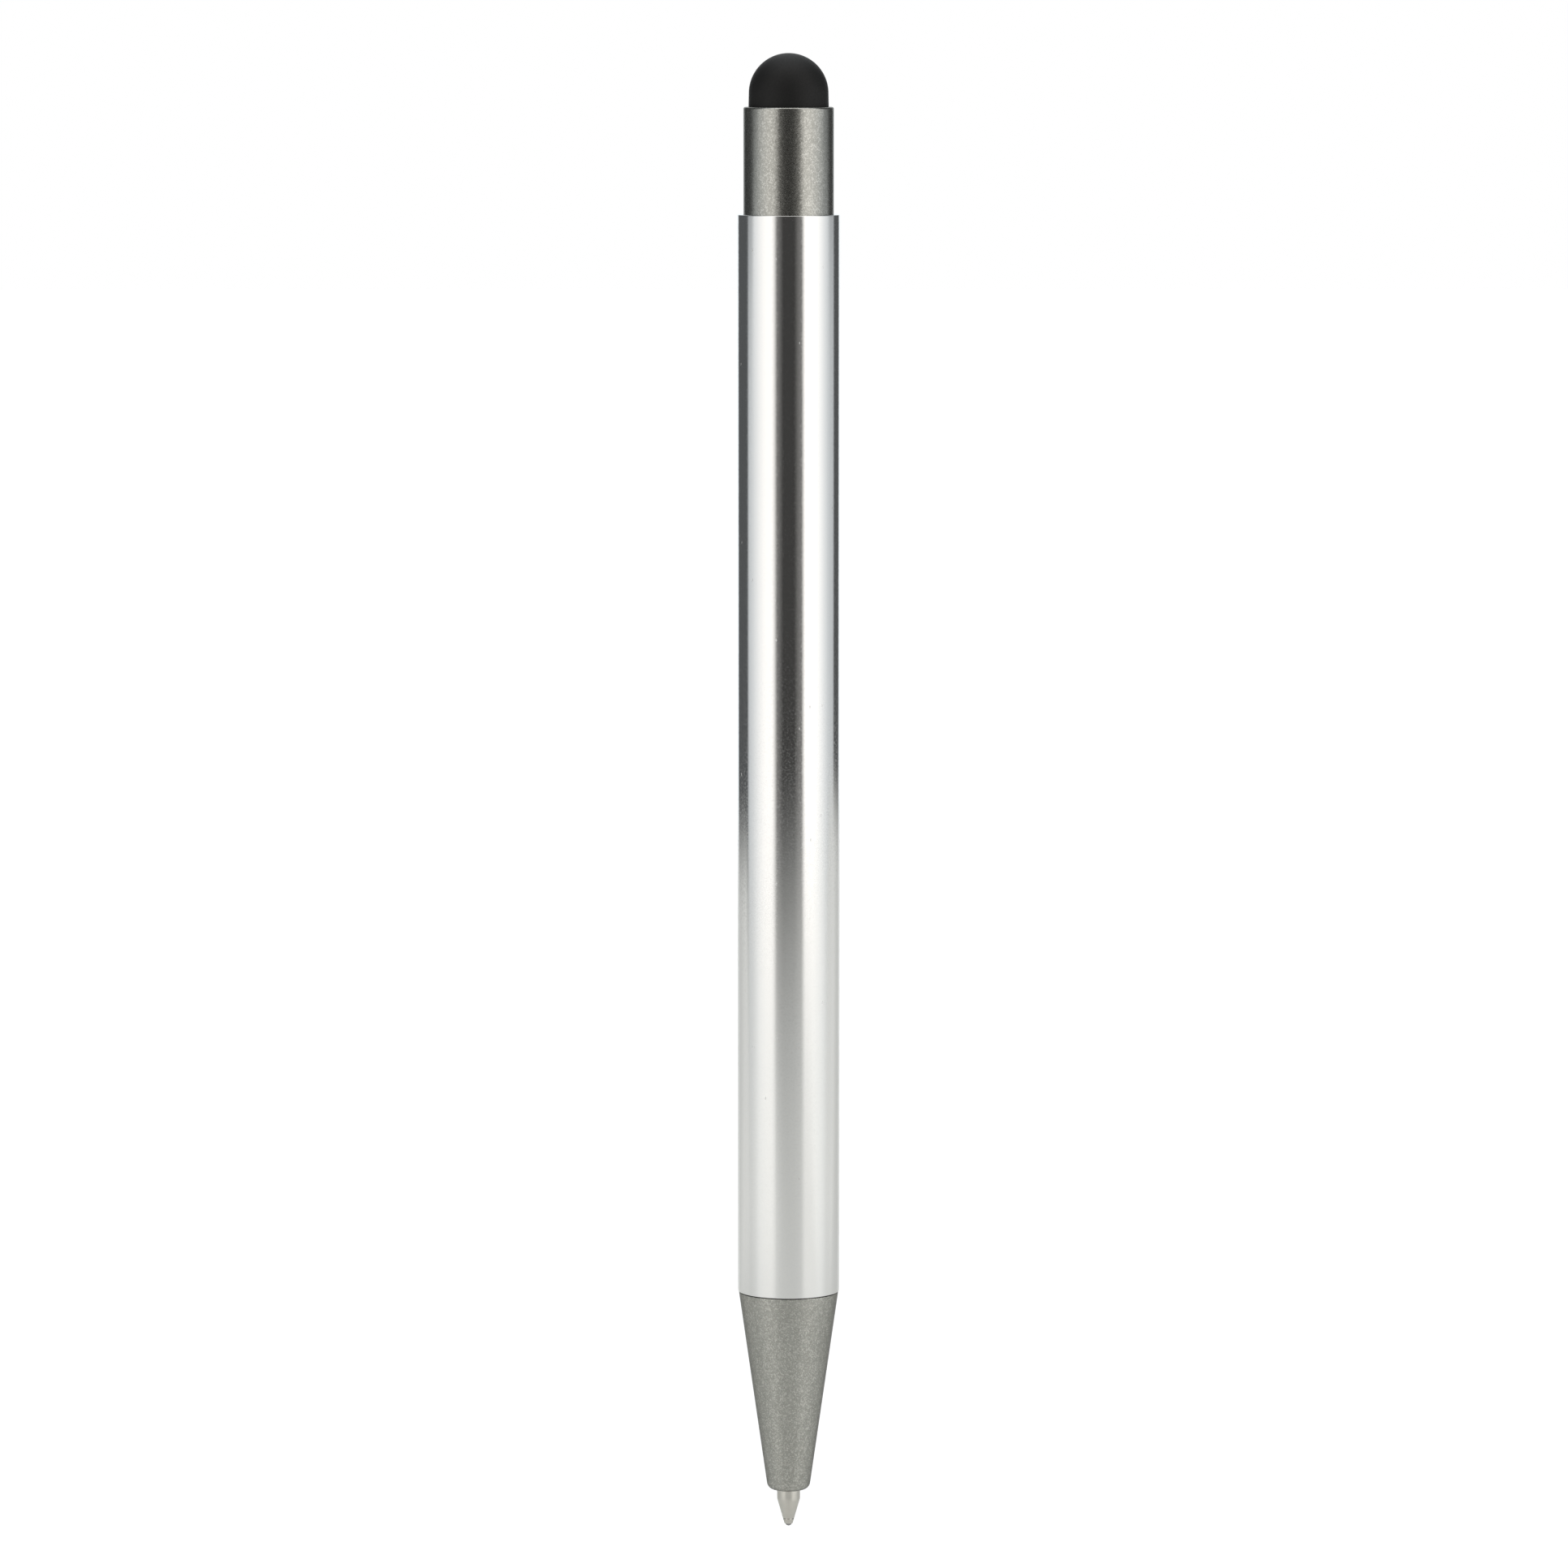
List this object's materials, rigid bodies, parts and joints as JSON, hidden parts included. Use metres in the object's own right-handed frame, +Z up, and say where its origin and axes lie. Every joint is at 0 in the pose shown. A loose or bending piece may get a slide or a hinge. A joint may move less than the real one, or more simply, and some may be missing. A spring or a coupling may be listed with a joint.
{
  "type": "stylus pen",
  "caption": "Slim push-button ballpoint pen with a polished tube barrel, a tapered gunmetal nose, and a soft round stylus dome on its sliding button sleeve.",
  "frame": {"origin": "where the extended writing ball touches the paper, on the pen's axis", "axes": "+Z up the pen's axis from the writing point to the stylus dome; +X and +Y across it, with the cam grooves on both"},
  "size_m": [0.01, 0.01, 0.1449],
  "materials": {
    "polished_aluminium": "mirror polished",
    "gunmetal": "fine metallic lacquer",
    "stylus_rubber": "matte",
    "bush_brass": "turned",
    "cam_plastic": "moulded",
    "spring_steel": "drawn wire",
    "refill_plastic": "extruded",
    "ink": "wet",
    "nickel_silver": "turned",
    "ball_carbide": "lapped"
  },
  "bodies": {
    "barrel": {"barrel_tube": "polished_aluminium", "front_bush": "bush_brass", "nose_cone": "gunmetal", "cam_housing": "cam_plastic", "return_spring": "spring_steel"},
    "button": {"button_sleeve": "gunmetal", "stylus_tip": "stylus_rubber", "button_plug": "cam_plastic", "plunger_cam": "cam_plastic"},
    "refill": {"rotor_cam": "cam_plastic", "refill_tube": "refill_plastic", "refill_end_plug": "refill_plastic", "refill_ink": "ink", "refill_point": "nickel_silver"},
    "ball": {"refill_ball": "ball_carbide"}
  },
  "joints": [
    {"name": "button_slide", "type": "slide", "parent": "barrel", "child": "button", "axis": [0, 0, 1], "range_m": [-0.0012, 0.005]},
    {"name": "refill_slide", "type": "slide", "parent": "barrel", "child": "refill", "axis": [0, 0, 1], "range_m": [-0.0012, 0.005], "deforming": ["return_spring"]},
    {"name": "ball_roll", "type": "hinge", "parent": "refill", "child": "ball", "pos_m": [0, 0, 0.00035], "axis": [1, 0, 0], "continuous": true}
  ],
  "couplings": [
    {"joint": "refill_slide", "follows": "button_slide", "ratio": 1}
  ]
}
